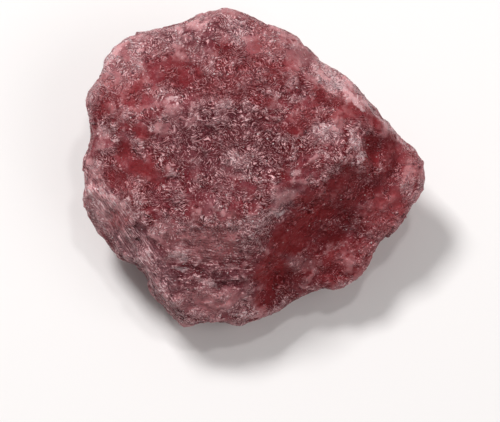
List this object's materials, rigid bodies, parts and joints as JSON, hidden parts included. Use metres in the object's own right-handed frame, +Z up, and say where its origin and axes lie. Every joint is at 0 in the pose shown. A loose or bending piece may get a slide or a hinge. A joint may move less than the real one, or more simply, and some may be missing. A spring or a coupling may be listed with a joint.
{
  "type": "raw strawberry quartz rough",
  "caption": "Broken lump of cloudy wine-red quartz, with a broad rough face, a dark flank that drops to a low shelf, steep broken sides and a flat resting face.",
  "frame": {"origin": "middle of the bounding box at the resting face", "axes": "+Z up from the resting face, +X along the stone's width towards the low pointed lobe, -Y the way the broad face leans"},
  "size_m": [0.0574, 0.0506, 0.0279],
  "materials": {
    "stone": "cloudy, wine red, rough broken surface with sugary glints and frosty patches"
  },
  "bodies": {
    "root": {"stone": "stone"}
  },
  "joints": []
}
